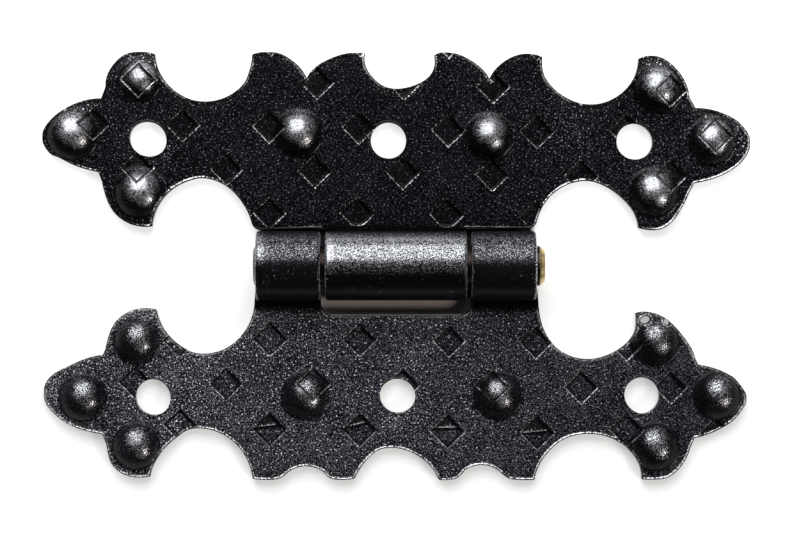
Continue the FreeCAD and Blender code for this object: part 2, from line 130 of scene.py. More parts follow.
def bells(points, spots):
    """A bell of height 1 round each spot, from every point. A spot's row starts with x, y and radius."""
    return np.exp(-((points[:, None] - spots[:, :2]) ** 2).sum(2) / spots[:, 2] ** 2)


# kinds of diamond, the mark of one without a step, and the disc that cuts a round-ended one
ROUND_ENDED, FRAMED, NO_STEP = 1, 2, 9
ROUND_END, ROUND_REACH = np.array([-0.1, 0.9]), 2.6


def stamp_axes(lean):
    """Unit vectors along and across the diamonds, which run out of true by some degrees."""
    turn = math.radians(lean)
    return np.array([[math.cos(turn), math.sin(turn)], [-math.sin(turn), math.cos(turn)]])


def stamp_place(points, stamps, lean):
    """How far a point lies inside its nearest diamond: half the diagonal less |p| + |q|, over root 2.

    A round-ended diamond is cut by a disc. Also p and q, how far above its step, and the stamp's row.
    """
    local = (points[:, None] - stamps[:, :2]) @ stamp_axes(lean).T
    inside = (stamps[:, 2] - np.abs(local).sum(2)) / math.sqrt(2)
    disc = ROUND_REACH - np.sqrt(((local - ROUND_END) ** 2).sum(2))
    inside = np.where(stamps[:, 3] == ROUND_ENDED, np.minimum(inside, disc), inside)
    nearest = inside.argmax(1)
    each = np.arange(len(points))
    chosen, stamp = local[each, nearest], stamps[nearest]
    over = chosen[:, 1] - stamp[:, 4] - stamp[:, 5] * chosen[:, 0]
    return inside[each, nearest], chosen, over, stamp


def stamp_lines(stamps, lean):
    """Loops inside and outside each diamond, and four lines along each step, as points and edges."""
    axes = stamp_axes(lean)
    rays, stations = 40, 9
    around = np.linspace(0, 2 * math.pi, rays + 1)[:-1]
    ray = np.stack([np.cos(around), np.sin(around)], 1)
    lines, edges, count = [], [], 0
    for inset in (-0.18, -0.06, 0.05, 0.14, 0.25, 0.38, 0.62):
        reach = (stamps[:, 2, None] - inset * math.sqrt(2)) / np.abs(ray).sum(1)
        toward = ray @ ROUND_END
        disc = toward + np.sqrt(toward ** 2 - (ROUND_END ** 2).sum() + (ROUND_REACH - inset) ** 2)
        reach = np.where(stamps[:, 3, None] == ROUND_ENDED, np.minimum(reach, disc), reach)
        loops = stamps[:, None, :2] + (reach[..., None] * ray) @ axes
        corner = np.arange(len(stamps) * rays).reshape(-1, rays)
        lines.append(loops.reshape(-1, 2))
        edges.append(np.stack([corner, np.roll(corner, -1, 1)], -1).reshape(-1, 2) + count)
        count += len(stamps) * rays
    stepped = stamps[stamps[:, 4] < NO_STEP]
    for over in (-0.34, -0.1, 0.05, 0.22):
        middle = stepped[:, 4] + over
        half = stepped[:, 2] - np.abs(middle) - 0.5
        p = half[:, None] * np.linspace(-1, 1, stations)
        q = middle[:, None] + stepped[:, 5, None] * p
        rows = stepped[:, None, :2] + np.stack([p, q], -1) @ axes
        corner = np.arange(len(stepped) * stations).reshape(-1, stations)
        lines.append(rows.reshape(-1, 2))
        edges.append(np.stack([corner[:, :-1], corner[:, 1:]], -1).reshape(-1, 2) + count)
        count += len(stepped) * stations
    return np.concatenate(lines), np.concatenate(edges)


def dome_place(points, domes):
    """Distance to the nearest dome's centre, and that dome's row: x, y, radius of its foot, height."""
    away = np.sqrt(((points[:, None] - domes[:, :2]) ** 2).sum(2))
    nearest = away.argmin(1)
    return away[np.arange(len(points)), nearest], domes[nearest]


def dome_rise(points, domes, soft):
    """Height over the sheet of a ball through each dome's foot and top, run softly into the sheet.

    It is the mean of the ball's height and the root of that height squared plus soft squared. Beyond
    0.9 of its radius the ball goes on as a straight slope.
    """
    away, dome = dome_place(points, domes)
    foot, height = dome[:, 2], dome[:, 3]
    ball_radius = (foot ** 2 + height ** 2) / (2 * height)
    flank = 0.9 * ball_radius
    ball = np.sqrt(ball_radius ** 2 - np.minimum(away, flank) ** 2) - ball_radius + height
    ball = ball - np.maximum(away - flank, 0) * flank / np.sqrt(ball_radius ** 2 - flank ** 2)
    return (ball + np.sqrt(ball ** 2 + soft ** 2)) / 2


def sheet_surfaces(points, rim, leaf):
    """Face: sheet + domes - diamonds, its rim a quarter circle with a burr. Back: flat, with hollows.

    The punch leaned, so a diamond's upper right wall is flatter. A stepped diamond is deeper below
    its step.
    """
    rim_round, burr, hollow_height = 0.15, 0.06, 2.3
    rise = dome_rise(points, leaf["domes"], leaf["soft"])
    inside, local, over, stamp = stamp_place(points, leaf["stamps"], leaf["lean"])
    slope = np.where(local.min(1) > 0, 0.6, 0.26)
    level = np.where(stamp[:, 4] < NO_STEP, 1.35 - 0.65 * smooth_step(-0.08, 0.04, over), 1)
    struck = smooth_step(-0.08, slope, inside) * level
    edge = distance_to_edges(points, *rim)[0]
    rim_share = np.clip(edge / rim_round, 0, 1)
    fall = rim_round * (1 - np.sqrt(1 - (1 - rim_share) ** 2))
    fall = fall + burr * (smooth_step(0.14, 0.36, edge) - smooth_step(0.4, 1.1, edge))
    away = dome_place(points, leaf["domes"])[0]
    hollow = hollow_height * (1 - smooth_step(0.25, 2.15, away))
    return SHEET + rise - leaf["depth"] * struck - fall, hollow


def sheet_wear(points, rim, leaf):
    """Four numbers a point: edges worn and painted bright, domes rubbed bare as a painted sheen on each
    lamp's side, black for pooled paint and painted shade, and sandy ground.

    They are 0 where there is nothing of it. The first three end at about 1, the sand can pass it.
    """
    starts, ends = rim
    inside, local, over, stamp = stamp_place(points, leaf["stamps"], leaf["lean"])
    framed = stamp[:, 3] == FRAMED
    # edges: the diamonds' lines, their steps, and the rim of the leaf away from its holes, worn bright
    # and painted brighter where they face the lamps
    # the lines are bright on the sides that face the lamps and faint on the others, a painted highlight
    upper_sides = np.where(local[:, 0] < 0, 0.5, 0.1)
    line = np.where((local[:, 1] < 0) | framed, 1, upper_sides)
    away, dome = dome_place(points, leaf["domes"])
    foot = dome[:, 2]
    on_dome = 1 - smooth_step(0.6, 1, away / foot)
    line = line * np.where(framed, 1, 1 - leaf["faint"] * on_dome)
    worn_and_glint = np.exp(-((inside + 0.01) / 0.1) ** 2) * line * leaf["line"]
    stepped = (stamp[:, 4] < NO_STEP) & (inside > 0.05)
    worn_and_glint = np.maximum(worn_and_glint, np.exp(-((over - 0.1) / 0.12) ** 2) * stepped)
    edge, number = distance_to_edges(points, starts, ends)
    along = (ends - starts)[number]
    # rims that face the lamps are painted brighter, a painted highlight, and so are the listed bright
    # stretches
    facing = (along @ [0.3, 0.95]) / np.sqrt((along ** 2).sum(1))
    rim_wear_glint = leaf["rim_low"] + (0.95 - leaf["rim_low"]) * smooth_step(-0.3, 0.6, facing)
    rim_wear_glint = np.maximum(rim_wear_glint, bells(points, leaf["bright_rims"]).max(1))
    from_hole = np.sqrt(((points[:, None] - leaf["holes"]) ** 2).sum(2)).min(1)
    rim_wear_glint = rim_wear_glint * smooth_step(3.0, 3.4, from_hole)
    worn_and_glint = np.maximum(worn_and_glint, np.exp(-((edge - 0.24) / 0.13) ** 2) * rim_wear_glint)

    # domes: rubbed bare on top on the side of each lamp, a painted sheen where its highlight falls
    toward_main = np.sqrt(((points - dome[:, :2] - [0.2, 1.1]) ** 2).sum(1))
    toward_warm = np.sqrt(((points - dome[:, :2] - [0.95, -0.65]) ** 2).sum(1))
    rubbed_sheen = np.exp(-(toward_main / (leaf["sheen_reach"] * foot)) ** 4)
    rubbed_sheen = np.maximum(rubbed_sheen, 0.85 * np.exp(-(toward_warm / (0.34 * foot)) ** 4)) * leaf["rub_sheen"]

    # pooled paint and painted shade, plain black: inside the lines, under the steps, round the domes,
    # in the barrel's shade and in small dark spots
    band = np.where(local.min(1) > 0, 0.62, 0.34)
    pooled_and_shade = smooth_step(0.07, 0.15, inside) * (1 - smooth_step(band - 0.12, band + 0.1, inside))
    under_step = smooth_step(-0.5, -0.3, over) * (1 - smooth_step(-0.12, -0.02, over))
    pooled_and_shade = np.maximum(pooled_and_shade, stepped * under_step)
    pooled_and_shade = np.maximum(pooled_and_shade, np.exp(-((away - foot - 0.1) / 0.22) ** 2) * leaf["ring"])
    # painted shade of the barrel on the sheet beside it
    barrel_shade = (1 - smooth_step(*leaf["shade"], np.abs(points[:, 1]))) * (np.abs(points[:, 0]) < 20)
    pooled_and_shade = np.maximum(pooled_and_shade, barrel_shade)
    pooled_and_shade = np.maximum(pooled_and_shade, bells(points, leaf["shade_spots"]).max(1))

    # sand: thin on the domes and on the floors of the diamonds
    sandy = 0.1 + 0.9 * smooth_step(-0.5, 0.6, away - foot)
    sandy = sandy * (1 - leaf["floor"] * smooth_step(0.1, 0.5, inside))
    sandy = sandy * np.where(stepped & (over > 0), 0.3, 1)
    sandy = sandy * np.interp(points[:, 0], [-50, 0, 50], leaf["tone"])
    sandy = sandy * (1 + (bells(points, leaf["gritty"]) * leaf["gritty"][:, 3]).max(1))
    return np.stack([worn_and_glint, rubbed_sheen, pooled_and_shade, sandy], 1)


def leaf_sheet(node, leaf):
    """Flat plan of a leaf, triangulated and then lifted to the heights of its face and its back.

    Its points lie in rows inside the rim, in rings on the domes, in lines on the diamonds and on a
    grid between. A wall along the plan's own rim joins face and back.
    """
    rim_step, grid_step, ring_points, last_ring = 0.45, 0.9, 56, 4.5
    starts, ends = back_edges(node)
    reach = np.abs(np.array(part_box(node.name))[:, :2]).max(0) / MM
    starts, ends = (strayed(points, leaf["strays"], reach) for points in (starts, ends))
    around = np.linspace(2 * math.pi, 0, 15)
    for x, y, long, short, turn in leaf["tears"]:
        oval = np.stack([np.cos(around) * long, np.sin(around) * short], 1) @ stamp_axes(turn) + [x, y]
        starts, ends = np.concatenate([starts, oval[:-1]]), np.concatenate([ends, oval[1:]])
    # the rim in short pieces, each with its way inward
    along = ends - starts
    length = np.sqrt((along ** 2).sum(1))
    pieces = np.maximum(np.ceil(length / rim_step).astype(int), 1)
    owner = np.repeat(np.arange(len(starts)), pieces)
    step = np.arange(pieces.sum()) - np.repeat(np.cumsum(pieces) - pieces, pieces)
    rim_from = starts[owner] + along[owner] * (step / pieces[owner])[:, None]
    rim_to = starts[owner] + along[owner] * ((step + 1) / pieces[owner])[:, None]
    inward = np.stack([-along[owner, 1], along[owner, 0]], 1) / length[owner][:, None]

    def kept(points, distance):
        clear = distance_to_edges(points, starts, ends)[0] > distance * 0.9
        return points[clear & inside_polygon(points, starts, ends)]

    # points inside it, a ring's row turned by half a step from the one before
    rim_rows = (0.04, 0.1, 0.17, 0.25, 0.36, 0.6, 0.95)
    loose = [kept(rim_from + inward * row, row) for row in rim_rows]
    domes = leaf["domes"]
    around = np.linspace(0, 2 * math.pi, ring_points, endpoint=False)
    for number, radius in enumerate(np.concatenate([[0.02], np.arange(0.35, 4.6, 0.27)])):
        turned = around + number * math.pi / ring_points
        ring = np.stack([np.cos(turned), np.sin(turned)], 1) * radius
        ring = ring[::8] if radius < 0.1 else ring[::2] if radius < 1 else ring
        loose.append(kept((domes[:, None, :2] + ring).reshape(-1, 2), 0.05))
    grid = np.stack(np.meshgrid(np.arange(-52, 52, grid_step), np.arange(0, 33, 0.78)), -1)
    grid[1::2, :, 0] += grid_step / 2
    grid = grid.reshape(-1, 2) * [1, math.copysign(1, domes[:, 1].mean())]
    loose.append(kept(grid[dome_place(grid, domes)[0] > last_ring], 0.9))

    lines, line_edges = stamp_lines(leaf["stamps"], leaf["lean"])
    points = np.concatenate([rim_from, rim_to, lines, *loose])
    rim_count = len(rim_from)
    edges = np.concatenate([
        np.stack([np.arange(rim_count), np.arange(rim_count) + rim_count], 1),
        line_edges + 2 * rim_count,
    ])
    # triangles between them, only where there is sheet, all facing up
    flat = [Vector(point) for point in points.tolist()]
    plan = delaunay_2d_cdt(flat, edges.tolist(), [], 0, 1e-4, False)
    spots = np.array([tuple(spot) for spot in plan[0]])
    faces = np.array([face for face in plan[2] if len(face) == 3])
    faces = faces[inside_polygon(spots[faces].mean(1), starts, ends)]
    used, renumbered = np.unique(faces, return_inverse=True)
    spots, faces = spots[used], renumbered.reshape(-1, 3)
    across = spots[faces[:, 1]] - spots[faces[:, 0]]
    up = spots[faces[:, 2]] - spots[faces[:, 0]]
    turned_over = across[:, 0] * up[:, 1] - across[:, 1] * up[:, 0] < 0
    faces[turned_over] = faces[turned_over][:, ::-1]

    # face and back over the same plan, and the wall between them
    face_height, hollow = sheet_surfaces(spots, (starts, ends), leaf)
    total = len(spots)
    top = np.column_stack([spots, face_height])
    back = np.column_stack([spots, hollow])
    edges = np.concatenate([faces[:, [0, 1]], faces[:, [1, 2]], faces[:, [2, 0]]])
    key = edges[:, 0] * total + edges[:, 1]
    rim_edges = edges[~np.isin(edges[:, 1] * total + edges[:, 0], key)]
    wall = np.column_stack([rim_edges + total, rim_edges[:, ::-1]])
    wear = sheet_wear(spots, (starts, ends), leaf)
    unworn_back = wear * [0, 0, 0, 0.5]
    wear = np.concatenate([wear, unworn_back])
    return np.concatenate([top, back]), faces, faces[:, ::-1] + total, wall, wear


def rolled_knuckle(left, right, side, rub_sheen, low):
    """Closed C section, 2 mm thick, from the sheet's back round the pin to a seam, carried along X.

    Its ends are rounded, worn and painted bright as glints. The band that faces the lamps, from low to
    80 degrees, is rubbed bare, a painted sheen where the lamps reflect.
    """
    axis, bore, outside, seam = 4.86, 2.86, 4.857, 0.15
    start, finish = -math.asin((axis - SHEET - seam) / axis), 1.5 * math.pi
    turn = np.linspace(start, finish, 81)
    rim = 0.45
    quarter = np.linspace(0, math.pi / 2, 6)
    from_end, sunk = rim * (1 - np.sin(quarter)), rim * (1 - np.cos(quarter))
    inner_x = np.linspace(left + rim, right - rim, 24)[1:-1]
    stations = np.concatenate([left + from_end, inner_x, right - from_end[::-1]])
    inset = np.concatenate([sunk, 0 * inner_x, sunk[::-1]])
    order = np.argsort(stations, kind="stable")
    stations, inset = stations[order], inset[order]
    # the section at every station: round the outside one way, back round the bore
    loops = []
    for radius, sign, angles in ((outside, -1, turn), (bore, 1, turn[::-1])):
        ring_radius = radius + sign * inset[:, None]
        y = ring_radius * np.cos(angles) * side
        z = axis + ring_radius * np.sin(angles)
        loops.append(np.stack([np.broadcast_to(stations[:, None], y.shape), y, z], -1))
    grid = np.concatenate(loops, 1)
    rows, columns = grid.shape[:2]
    number = np.arange(rows * columns).reshape(rows, columns)
    following = np.roll(number, -1, 1)
    # the skin between stations, and a cap on each end
    skin = np.stack([number[:-1], following[:-1], following[1:], number[1:]], -1).reshape(-1, 4)
    half = columns // 2
    cap = np.arange(half - 1)
    first = np.stack([cap, cap + 1, columns - 2 - cap, columns - 1 - cap], 1)
    last = first[:, ::-1] + (rows - 1) * columns
    faces = np.concatenate([skin, first[:, ::-1], last[:, ::-1]])
    if side < 0:
        faces = faces[:, ::-1]
    # the rounded ends are worn bright, in part a painted glint
    worn_and_glint = np.repeat(np.clip(inset / rim, 0, 1) ** 0.7 * 0.9, columns)
    # the band that faces the lamps is bare and sandy, a painted sheen, brightest at the left end
    tilt = np.degrees(np.arctan2(grid[..., 1], grid[..., 2] - axis)).reshape(-1)
    lit = smooth_step(low, 20, tilt) * (1 - smooth_step(50, 80, tilt))
    across = grid[..., 0].reshape(-1)
    by_left_end = (1 - smooth_step(left + 0.7, left + 1.5, across)) * (left < 0)
    rubbed_sheen = (rub_sheen + 0.46 * by_left_end) * lit
    sandy = 0.3 * lit + 0.02
    return grid.reshape(-1, 3), faces, np.stack([worn_and_glint, rubbed_sheen, worn_and_glint * 0, sandy], 1)


# the names under which a mesh carries its four numbers of wear, painted sheen and painted shade
WEAR = ("worn_and_glint", "rubbed_sheen", "pooled_and_shade", "sandy")


def make_leaf(name, node, leaf, knuckles, side, rub_sheen, low):
    """One mesh: face, back and wall of the sheet, and its knuckles, with the wear, painted sheen and
    shade kept as numbers.
    """
    points, face, back, wall, wear = leaf_sheet(node, leaf)
    parts, wears, polygons, count = [points], [wear], [face, back, wall], len(points)
    for left, right in knuckles:
        roll, skin, roll_wear = rolled_knuckle(left, right, side, rub_sheen, low)
        parts.append(roll)
        wears.append(roll_wear)
        polygons.append(skin + count)
        count += len(roll)
    mesh = bpy.data.meshes.new(name)
    flat = [polygon for group in polygons for polygon in group.tolist()]
    mesh.from_pydata((np.concatenate(parts) * MM).tolist(), [], flat)
    for column, word in enumerate(WEAR):
        values = np.concatenate(wears)[:, column].astype(np.float32)
        mesh.attributes.new(word, "FLOAT", "POINT").data.foreach_set("value", values)
    mesh.polygons.foreach_set("use_smooth", [True] * len(mesh.polygons))
    mesh.set_sharp_from_angle(angle=math.radians(50))
    piece = bpy.data.objects.new(name, mesh)
    bpy.context.scene.collection.objects.link(piece)
    return piece


class Wire:
    """One socket of a node tree. Sums and products of wires and numbers add their Math nodes."""

    def __init__(self, tree, socket=None):
        self.tree, self.socket = tree, socket

    def node(self, kind, settings, sockets, output=0):
        """Add a node: its settings are set first, then each socket gets its value or its link."""
        made = self.tree.nodes.new(kind)
        for word, setting in settings.items():
            setattr(made, word, setting)
        for word, value in sockets.items():
            if isinstance(value, Wire):
                self.tree.links.new(value.socket, made.inputs[word])
            else:
                made.inputs[word].default_value = value
        return Wire(self.tree, made.outputs[output])

    def maths(self, operation, first, second=0.0):
        return self.node("ShaderNodeMath", {"operation": operation}, {0: first, 1: second})

    def __add__(self, other): return self.maths("ADD", self, other)
    def __radd__(self, other): return self.maths("ADD", other, self)
    def __sub__(self, other): return self.maths("SUBTRACT", self, other)
    def __rsub__(self, other): return self.maths("SUBTRACT", other, self)
    def __mul__(self, other): return self.maths("MULTIPLY", self, other)
    def __rmul__(self, other): return self.maths("MULTIPLY", other, self)
    def __pow__(self, other): return self.maths("POWER", self, other)

    def ramp(self, low, high):
        """0 below low, 1 above high, straight between."""
        sockets = {"Value": self, "From Min": low, "From Max": high}
        return self.node("ShaderNodeMapRange", {"clamp": True}, sockets)

    def mix(self, first, second):
        """A colour that is the first where this wire is 0 and the second where it is 1."""
        return self.node("ShaderNodeMix", {"data_type": "RGBA"}, {0: self, 6: first, 7: second}, 2)


def new_finish(name):
    """A material with only its output and a Principled shader. Returns it, a wire into it, the shader."""
    material = bpy.data.materials.new(name)
    material.use_nodes = True
    tree = material.node_tree
    tree.nodes.clear()
    output = tree.nodes.new("ShaderNodeOutputMaterial")
    shader = tree.nodes.new("ShaderNodeBsdfPrincipled")
    tree.links.new(shader.outputs[0], output.inputs[0])
    return material, Wire(tree), shader


def black_paint(name, ground, salt, glint, grit):
    """Gloss black over a sandy ground, worn to steel in specks and on edges. The bare steel on the domes
    and on the barrel lies where the lamps' highlights fall, a painted sheen, and edges that face the
    lamps are painted bright. Where pooled paint and painted shade lie it is plain black.

    Salt is the share of pale specks, glint that of bright ones, and grit the height of the grain in
    metres. The scales of the noise are in cells a metre, so 9500 is a grain of about 0.1 mm.
    """
    material, wire, shader = new_finish(name)
    place = wire.node("ShaderNodeTexCoord", {}, {}, "Object")
    fine, grain, pits, broad = (
        wire.node("ShaderNodeTexNoise", {}, {"Vector": place, "Scale": scale, "Detail": detail})
        for scale, detail in ((9500.0, 0.0), (5600.0, 1.0), (4000.0, 0.0), (230.0, 3.0))
    )
    worn_and_glint, rubbed_sheen, pooled_and_shade, sandy = (
        wire.node("ShaderNodeAttribute", {"attribute_name": word}, {}, "Fac") for word in WEAR
    )
    # pale specks all over, and among them a few that flash
    speck = (grain * 0.7 + fine * 0.3 + (broad - 0.5) * 0.12).ramp(0.49, 0.80) ** 1.5
    spark = (pits * 0.75 + fine * 0.25).ramp(0.64, 0.72) * sandy * glint
    speck = wire.maths("MAXIMUM", speck * salt * sandy, spark)
    # worn edges with painted glints, and the painted sheen of the rubbed places, broken up by the grain
    edge_wear_glint = (worn_and_glint + (pits - 0.5) * 1.3 + (broad - 0.5) * 0.8).ramp(0.4, 0.85)
    sheen_bare = (rubbed_sheen + (grain - 0.5) * 2.3 + (fine - 0.5) * 1.8).ramp(0.35, 0.85)
    sheen_bare = sheen_bare * rubbed_sheen.ramp(0.02, 0.2)
    bare = wire.maths("MAXIMUM", edge_wear_glint, sheen_bare)
    # painted shade: no specks and no bare steel where the paint pools and shade lies
    bare = wire.maths("MAXIMUM", bare, speck) * (1 - pooled_and_shade)
    # bare metal: dull in the specks, steel where it is rubbed (in part a painted sheen), silver where it
    # shines
    sand, steel, silver = (0.39, 0.38, 0.48, 1), (0.42, 0.43, 0.46, 1), (0.9, 0.9, 0.95, 1)
    rubbed_sheen_here = (rubbed_sheen + worn_and_glint).ramp(0.0, 0.2)
    metal = rubbed_sheen_here.mix(sand, steel)
    metal = wire.maths("MAXIMUM", spark, edge_wear_glint * 0.6).mix(metal, silver)
    colour = bare.mix(ground, metal)
    # gloss: less where the paint is neither sandy nor given the rubbed sheen, and least on bare metal
    matt = sandy.ramp(0.5, 0.05) * rubbed_sheen.ramp(0.2, 0.0)
    rough = 0.16 + (broad - 0.5) * 0.08 + speck * 0.3 + edge_wear_glint * 0.22 + matt * 0.2
    rough = rough + sheen_bare * ((pits - 0.5) * 1.1 + 0.22)
    height = fine * 0.5 + grain * 0.8
    smoother = (0.2 + sandy * 0.8) * (1 - pooled_and_shade)
    height = height * smoother
    bump = wire.node("ShaderNodeBump", {}, {"Strength": 1.0, "Distance": grit, "Height": height})
    shader.inputs["Specular IOR Level"].default_value = 0.12
    tree = material.node_tree
    tree.links.new(colour.socket, shader.inputs["Base Color"])
    tree.links.new(rough.socket, shader.inputs["Roughness"])
    tree.links.new(bare.socket, shader.inputs["Metallic"])
    tree.links.new(bump.socket, shader.inputs["Normal"])
    return material


one_shape = {
    # domes: x, y, radius of the foot, height
    "domes": np.array([
        (-36.1, 26.0, 2.75, 1.9), (-45.6, 18.4, 3.5, 2.1), (-36.1, 10.2, 3.4, 2.1), (-13.8, 18.5, 3.2, 2),
        (13, 18.1, 3.1, 2), (36.8, 24.8, 3.3, 2), (44.5, 17.5, 3.2, 2), (36.3, 10.2, 3.3, 2),
    ]),
    # diamonds: x, y, half diagonal, kind (1 round-ended, 2 framed), then height and slope of a step
    # (9 is none)
    "stamps": np.array([
        (-36.2, 26.2, 2.54, 2, 9, 0), (-42.6, 20.0, 2.32, 0, 9, 0), (-36.4, 13.8, 2.32, 0, 9, 0),
        (-30.0, 19.8, 2.32, 0, 9, 0), (-23.8, 13.6, 2.25, 0, 9, 0), (-17.8, 19.6, 2.32, 0, 9, 0),
        (-17.5, 31.9, 2.32, 0, 9, 0), (-11.1, 25.8, 2.32, 0, 9, 0), (-11.4, 13.3, 2.30, 0, 9, 0),
        (-17.8, 7.4, 2.25, 0, 9, 0), (-5.2, 19.5, 2.35, 0, 9, 0), (1.2, 25.7, 2.32, 0, 9, 0),
        (1.0, 13.1, 2.32, 0, 9, 0), (-5.4, 7.4, 2.39, 1, 9, 0), (-5.0, 31.8, 2.32, 0, 9, 0),
        (7.4, 19.1, 2.35, 0, 9, 0), (13.7, 25.2, 2.32, 0, 9, 0), (13.6, 12.8, 2.30, 0, 9, 0),
        (19.9, 18.9, 2.39, 0, 9, 0), (7.2, 7.2, 2.39, 1, 9, 0), (19.8, 6.8, 2.39, 0, 9, 0),
        (7.5, 31.6, 2.32, 0, 9, 0), (19.9, 31.3, 2.32, 0, 9, 0), (26.1, 25.0, 2.32, 0, 9, 0),
        (26.1, 12.6, 2.39, 0, 9, 0), (32.5, 19.0, 2.39, 0, 9, 0), (38.6, 24.7, 2.39, 0, 9, 0),
        (44.9, 18.3, 2.54, 0, 9, 0), (38.7, 12.7, 2.32, 0, 9, 0),
    ]),
    # where the rim leaves the drawing: x, y, how far along x and y
    "strays": np.array([
        (50.0, 17.8, 0.21, -0.47), (-50.0, 17.8, -0.07, 0.37), (0.2, 24.8, -0.30, 0.16),
        (-23.4, 11.1, -0.75, 0.25), (23.7, 11.3, -0.15, -0.17), (-18.8, 30.1, -0.21, 0.10),
        (18.7, 30.1, 0.68, -0.32), (36.6, 29.8, -0.31, -0.07), (-36.6, 29.8, 0.46, 0.55),
        (-38.7, 6.4, -0.04, 0.13), (38.9, 6.6, -0.61, -1.03), (-32.5, 18.6, -0.01, -0.14),
        (36.3, 17.9, -0.17, -0.33), (26.5, 22.8, 0.19, 0.04), (-8.4, 30.3, 1.56, -0.38),
        (8.7, 30.2, -0.84, -0.14), (-0.9, 15.2, -0.54, -0.07), (-24.6, 23.2, 0.33, 0.45),
        (-42.7, 23.2, 0.05, 0.31), (43.1, 23.2, 0.76, -1.03), (-31.7, 10.5, -0.03, 0.10),
        (-44.3, 12.2, -0.60, 1.75), (31.7, 10.5, -0.90, -0.20), (44.3, 12.2, 0.82, 0.16),
        (32.4, 24.9, 0.02, 0.08), (-32.4, 24.9, 0.35, 0.64), (20.1, 6.7, -0.14, -0.18),
        (-20.1, 6.7, -0.34, -0.47), (-13.5, 28.3, -0.11, -0.43), (21.5, 25.5, -0.11, 0.36),
        (13.8, 28.7, 0.73, -0.57), (-4.3, 27.1, 0.18, 0.62), (4.4, 27.4, 0.88, -0.11),
        (31.3, 17.5, -0.24, -0.10), (-37.1, 16.8, -0.26, 0.40), (0.6, 19.9, -0.61, -0.04),
        (40.6, 27.2, -0.00, -1.14), (34.2, 6.4, -0.08, 0.02), (0, 5, 0, 0), (8, 5, 0, 0), (-8, 5, 0, 0),
        (15, 4, 0, 0), (-15, 4, 0, 0), (20, 0, 0, 0), (-20, 0, 0, 0),
    ]),
    # grit showing through: x, y, radius, how much more
    "gritty": np.array([
        (-37.3, 29.7, 0.9, 3), (-36, 30, 0.9, 3), (-34.7, 29.7, 0.9, 3), (35.1, 29, 0.9, 2.5),
        (36.5, 29, 0.9, 2.5), (37.8, 28.2, 0.9, 2.5), (47.8, 17.7, 1.3, 2), (48.7, 16.2, 1.2, 2),
        (48.2, 19.4, 1.2, 2), (-47.3, 20.8, 1.2, 1.6), (-45.9, 21.9, 1.2, 1.6), (-43.8, 22.2, 1.2, 1.6),
        (-32.5, 16.3, 1.1, 1.2), (24.6, 19, 4.5, 0.7), (-32, 28, 1, 1),
    ]),
    # small dark spots, painted shade in dents and beside domes: x, y, radius
    "shade_spots": np.array([(-38.5, 13, 0.3), (44.3, 21.5, 0.3)]),
    "tears": [],
    # diamonds: how far out of true, how deep, how bright their lines are, how faint on a dome
    "lean": -0.9, "depth": 0.32, "line": 0.82, "faint": 0,
    # domes: how softly they run into the sheet, how bright the rubbed sheen and how far down, how dark
    # the painted shade ring at the foot
    "soft": 0.55, "rub_sheen": 1.05, "sheen_reach": 0.62, "ring": 0.35,
    # where the barrel's painted shade ends, wear of the rims away from the light (the rims that face it
    # are painted brighter), clean floor of the diamonds, grit at the left, in the middle and at the right
    "shade": (5.3, 6), "rim_low": 0.3, "floor": 0.6, "tone": [0.95, 0.66, 0.95],
    "holes": np.array([(-34.9, 17.7), (-0.6, 17.7), (33.6, 17.7)]),
    # stretches of rim made bright, scraped wear and painted glints: x, y, radius
    "bright_rims": np.array([
        (-20.6, 28.3, 1.6), (-20.6, 25.5, 1.6), (-4.3, 28.6, 1.4), (5.5, 28.6, 1.4), (-15, 5.6, 3),
        (15, 5.6, 3),
    ]),
}
one_leaf = make_leaf(
    "one_knuckle_leaf_dressed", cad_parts["one_knuckle_leaf"], one_shape,
    knuckles=[(-9.9, 9.9)], side=1, rub_sheen=0.6, low=-22,
)
one_paint = black_paint(
    "black_paint_one", ground=(0.0018, 0.0018, 0.0024, 1), salt=0.28, glint=0.55, grit=0.00002,
)
one_leaf.data.materials.append(one_paint)
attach(one_leaf, "moving_leaf")
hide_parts("one_knuckle_leaf")


# The leaf that holds the pin is punched, struck and domed in the same way from its own blank. Its
# two end tabs are rolled into the outer knuckles, and the sheet between them is cut back to clear
# the centre knuckle. Its paint lies a little greyer.

